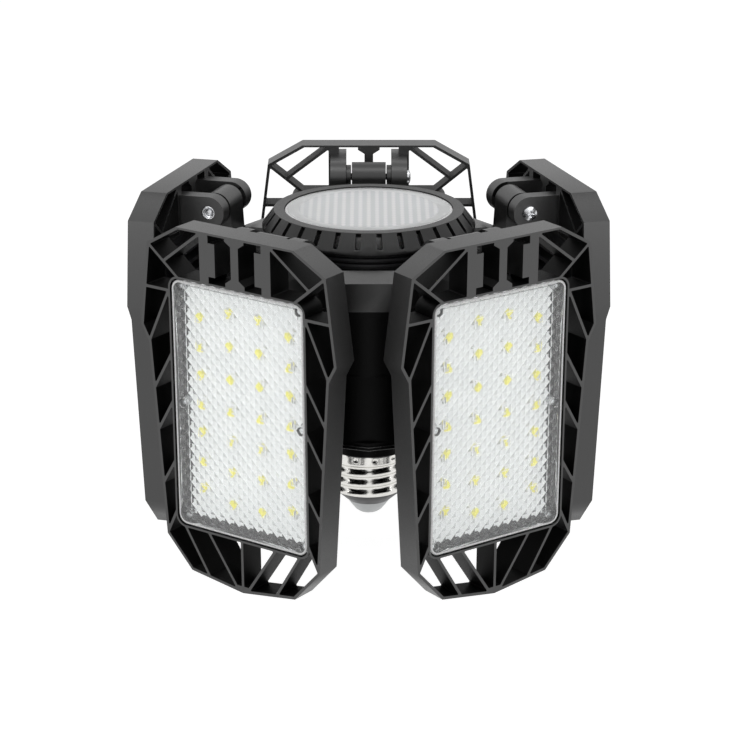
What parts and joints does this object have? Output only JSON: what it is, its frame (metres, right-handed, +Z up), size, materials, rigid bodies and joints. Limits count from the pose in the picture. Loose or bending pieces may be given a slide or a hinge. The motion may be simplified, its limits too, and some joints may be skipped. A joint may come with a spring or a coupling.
{
  "type": "folding garage light",
  "caption": "Screw-in garage lamp with a round centre lens and hinged rectangular light panels, black skeleton frames, folded down round its base.",
  "frame": {"origin": "tip of the screw base's centre contact, on the lamp's axis", "axes": "+Z up the lamp's axis, from the screw base to the centre lens; -Y towards the gap between the two front panels"},
  "size_m": [0.1616, 0.1544, 0.1222],
  "materials": {
    "black_plastic": "fine matt moulded, black",
    "black_aluminium": "black anodised",
    "clear_lens": "clear, prism pattern moulded inside",
    "white_board": "white solder mask",
    "led_phosphor": "yellow phosphor gel",
    "nickel_shell": "nickel plated, rolled",
    "screw_steel": "zinc plated",
    "grey_insulator": "moulded insulator",
    "green_board": "green solder mask",
    "capacitor_sleeve": "dark blue sleeve",
    "transformer_tape": "yellow tape over a core"
  },
  "bodies": {
    "lamp": {"centre_lens": "clear_lens", "lens_bezel": "black_plastic", "centre_led_board": "white_board", "centre_leds": "led_phosphor", "centre_screws": "screw_steel", "heat_sink": "black_aluminium", "hinge_hub": "black_plastic", "driver_housing": "black_plastic", "base_cap": "black_plastic", "driver_board": "green_board", "driver_capacitors": "capacitor_sleeve", "driver_transformer": "transformer_tape", "screw_shell": "nickel_shell", "base_insulator": "grey_insulator", "centre_contact": "nickel_shell"},
    "panel_1": {"panel_frame_1": "black_plastic", "panel_lens_1": "clear_lens", "panel_board_1": "white_board", "panel_leds_1": "led_phosphor", "panel_heat_sink_1": "black_aluminium", "panel_screws_1": "screw_steel", "hinge_screw_1": "screw_steel", "hinge_nut_1": "screw_steel", "hinge_washers_1": "screw_steel"},
    "panel_2": {"panel_frame_2": "black_plastic", "panel_lens_2": "clear_lens", "panel_board_2": "white_board", "panel_leds_2": "led_phosphor", "panel_heat_sink_2": "black_aluminium", "panel_screws_2": "screw_steel", "hinge_screw_2": "screw_steel", "hinge_nut_2": "screw_steel", "hinge_washers_2": "screw_steel"},
    "panel_3": {"panel_frame_3": "black_plastic", "panel_lens_3": "clear_lens", "panel_board_3": "white_board", "panel_leds_3": "led_phosphor", "panel_heat_sink_3": "black_aluminium", "panel_screws_3": "screw_steel", "hinge_screw_3": "screw_steel", "hinge_nut_3": "screw_steel", "hinge_washers_3": "screw_steel"},
    "panel_4": {"panel_frame_4": "black_plastic", "panel_lens_4": "clear_lens", "panel_board_4": "white_board", "panel_leds_4": "led_phosphor", "panel_heat_sink_4": "black_aluminium", "panel_screws_4": "screw_steel", "hinge_screw_4": "screw_steel", "hinge_nut_4": "screw_steel", "hinge_washers_4": "screw_steel"},
    "panel_5": {"panel_frame_5": "black_plastic", "panel_lens_5": "clear_lens", "panel_board_5": "white_board", "panel_leds_5": "led_phosphor", "panel_heat_sink_5": "black_aluminium", "panel_screws_5": "screw_steel", "hinge_screw_5": "screw_steel", "hinge_nut_5": "screw_steel", "hinge_washers_5": "screw_steel"}
  },
  "joints": [
    {"name": "panel_1_hinge", "type": "hinge", "parent": "lamp", "child": "panel_1", "pos_m": [0.03098, -0.04264, 0.10617], "axis": [-0.809, -0.5878, 0], "range_deg": [0, 91]},
    {"name": "panel_2_hinge", "type": "hinge", "parent": "lamp", "child": "panel_2", "pos_m": [0.05012, 0.01629, 0.10617], "axis": [0.309, -0.9511, 0], "range_deg": [0, 91]},
    {"name": "panel_3_hinge", "type": "hinge", "parent": "lamp", "child": "panel_3", "pos_m": [0, 0.0527, 0.10617], "axis": [1, 0, 0], "range_deg": [0, 91]},
    {"name": "panel_4_hinge", "type": "hinge", "parent": "lamp", "child": "panel_4", "pos_m": [-0.05012, 0.01629, 0.10617], "axis": [0.309, 0.9511, 0], "range_deg": [0, 91]},
    {"name": "panel_5_hinge", "type": "hinge", "parent": "lamp", "child": "panel_5", "pos_m": [-0.03098, -0.04264, 0.10617], "axis": [-0.809, 0.5878, 0], "range_deg": [0, 91]}
  ]
}
